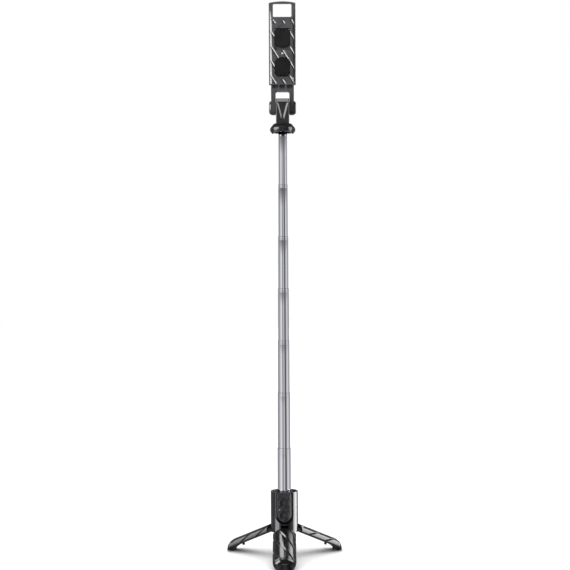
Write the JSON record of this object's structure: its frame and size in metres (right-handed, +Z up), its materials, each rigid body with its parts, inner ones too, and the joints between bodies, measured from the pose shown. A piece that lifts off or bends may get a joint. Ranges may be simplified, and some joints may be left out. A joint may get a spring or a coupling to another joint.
{
  "type": "selfie stick",
  "caption": "Telescopic selfie stick standing on its fold-out tripod handle, with polished tubes, a tilting spring-loaded phone clip and a lift-out remote.",
  "frame": {"origin": "on the floor under the stick, at the centre of the three feet", "axes": "+Z up along the stick, -Y the front of the clip and of the remote, +X to the right of someone facing the front"},
  "size_m": [0.1647, 0.1468, 0.7752],
  "materials": {
    "black_gloss": "gloss",
    "clip_plastic": "satin",
    "jaw_plastic": "satin",
    "black_satin": "satin",
    "polished_steel": "polished",
    "zinc_steel": "satin",
    "rubber": "matte",
    "remote_plastic": "satin",
    "button_plastic": "gloss",
    "board_green": "satin",
    "led_clear": "gloss"
  },
  "bodies": {
    "handle": {"handle_shell": "black_gloss", "handle_sleeve": "black_satin", "sleeve_cap": "black_satin", "rim_ring": "black_satin", "hinge_hub": "black_satin", "hub_screws": "zinc_steel", "leg_pins": "zinc_steel", "remote_bay": "black_satin"},
    "leg_front": {"leg_front_shell": "black_gloss", "leg_front_foot": "rubber", "leg_front_peg": "black_satin"},
    "leg_right": {"leg_right_shell": "black_gloss", "leg_right_foot": "rubber", "leg_right_peg": "black_satin"},
    "leg_left": {"leg_left_shell": "black_gloss", "leg_left_foot": "rubber", "leg_left_peg": "black_satin"},
    "stage_1": {"tube_1": "polished_steel", "bush_1": "black_satin"},
    "stage_2": {"tube_2": "polished_steel", "bush_2": "black_satin"},
    "stage_3": {"tube_3": "polished_steel", "bush_3": "black_satin"},
    "stage_4": {"tube_4": "polished_steel", "bush_4": "black_satin"},
    "stage_5": {"tube_5": "polished_steel", "bush_5": "black_satin"},
    "stage_6": {"tube_6": "polished_steel", "bush_6": "black_satin"},
    "stage_7": {"tube_7": "polished_steel", "bush_7": "black_satin", "swivel_plug": "zinc_steel", "swivel_clip": "zinc_steel"},
    "neck_head": {"neck": "black_gloss", "collar_skirt": "black_gloss"},
    "clip": {"clip_fork": "clip_plastic", "clip_body": "clip_plastic", "clip_back": "black_satin", "clip_screws": "zinc_steel", "pivot_bolt": "zinc_steel", "pivot_cap_left": "clip_plastic", "pivot_cap_right": "clip_plastic", "friction_washers": "zinc_steel", "clip_springs": "zinc_steel", "jaw_pin_lower": "zinc_steel"},
    "loop": {"clip_slider": "clip_plastic", "guide_rods": "zinc_steel", "jaw_pin_upper": "zinc_steel"},
    "jaw_top": {"jaw_upper": "jaw_plastic", "jaw_pad_upper": "rubber"},
    "jaw_bottom": {"jaw_lower": "jaw_plastic", "jaw_pad_lower": "rubber"},
    "remote": {"remote_case": "remote_plastic", "remote_base": "remote_plastic", "remote_board": "board_green", "remote_battery": "zinc_steel", "led_lens": "led_clear"},
    "key_upper": {"button_upper": "button_plastic"},
    "key_lower": {"button_lower": "button_plastic"}
  },
  "joints": [
    {"name": "leg_front_hinge", "type": "hinge", "parent": "handle", "child": "leg_front", "pos_m": [0, -0.0139, 0.04199], "axis": [-1, 0, 0], "range_deg": [-66, 0]},
    {"name": "leg_right_hinge", "type": "hinge", "parent": "handle", "child": "leg_right", "pos_m": [0.01204, 0.00695, 0.04199], "axis": [0.5, -0.866, 0], "range_deg": [-66, 0]},
    {"name": "leg_left_hinge", "type": "hinge", "parent": "handle", "child": "leg_left", "pos_m": [-0.01204, 0.00695, 0.04199], "axis": [0.5, 0.866, 0], "range_deg": [-66, 0]},
    {"name": "tube_1_slide", "type": "slide", "parent": "handle", "child": "stage_1", "axis": [0, 0, 1], "range_m": [-0.05985, 0]},
    {"name": "tube_2_slide", "type": "slide", "parent": "stage_1", "child": "stage_2", "axis": [0, 0, 1], "range_m": [-0.0745, 0]},
    {"name": "tube_3_slide", "type": "slide", "parent": "stage_2", "child": "stage_3", "axis": [0, 0, 1], "range_m": [-0.0775, 0]},
    {"name": "tube_4_slide", "type": "slide", "parent": "stage_3", "child": "stage_4", "axis": [0, 0, 1], "range_m": [-0.0728, 0]},
    {"name": "tube_5_slide", "type": "slide", "parent": "stage_4", "child": "stage_5", "axis": [0, 0, 1], "range_m": [-0.0728, 0]},
    {"name": "tube_6_slide", "type": "slide", "parent": "stage_5", "child": "stage_6", "axis": [0, 0, 1], "range_m": [-0.0728, 0]},
    {"name": "tube_7_slide", "type": "slide", "parent": "stage_6", "child": "stage_7", "axis": [0, 0, 1], "range_m": [-0.06975, 0]},
    {"name": "head_swivel", "type": "hinge", "parent": "stage_7", "child": "neck_head", "pos_m": [0, 0, 0.59349], "axis": [0, 0, 1], "continuous": true},
    {"name": "clip_tilt", "type": "hinge", "parent": "neck_head", "child": "clip", "pos_m": [0, 0.011, 0.62959], "axis": [1, 0, 0], "range_deg": [-180, 60]},
    {"name": "clip_slide", "type": "slide", "parent": "clip", "child": "loop", "axis": [0, 0, 1], "range_m": [0, 0.02], "stiffness_N_per_m": 150, "springref_m": -0.02, "deforming": ["clip_springs"]},
    {"name": "jaw_upper_hinge", "type": "hinge", "parent": "loop", "child": "jaw_top", "pos_m": [0, -0.0102, 0.73529], "axis": [-1, 0, 0], "range_deg": [0, 90]},
    {"name": "jaw_lower_hinge", "type": "hinge", "parent": "clip", "child": "jaw_bottom", "pos_m": [0, -0.0102, 0.67199], "axis": [1, 0, 0], "range_deg": [0, 90]},
    {"name": "remote_slide", "type": "slide", "parent": "handle", "child": "remote", "axis": [0, 0, 1], "range_m": [0, 0.045]},
    {"name": "button_upper_press", "type": "slide", "parent": "remote", "child": "key_upper", "axis": [0, -1, 0], "range_m": [-0.0005, 0], "stiffness_N_per_m": 1500, "springref_m": 0.0005},
    {"name": "button_lower_press", "type": "slide", "parent": "remote", "child": "key_lower", "axis": [0, -1, 0], "range_m": [-0.0005, 0], "stiffness_N_per_m": 1500, "springref_m": 0.0005}
  ]
}
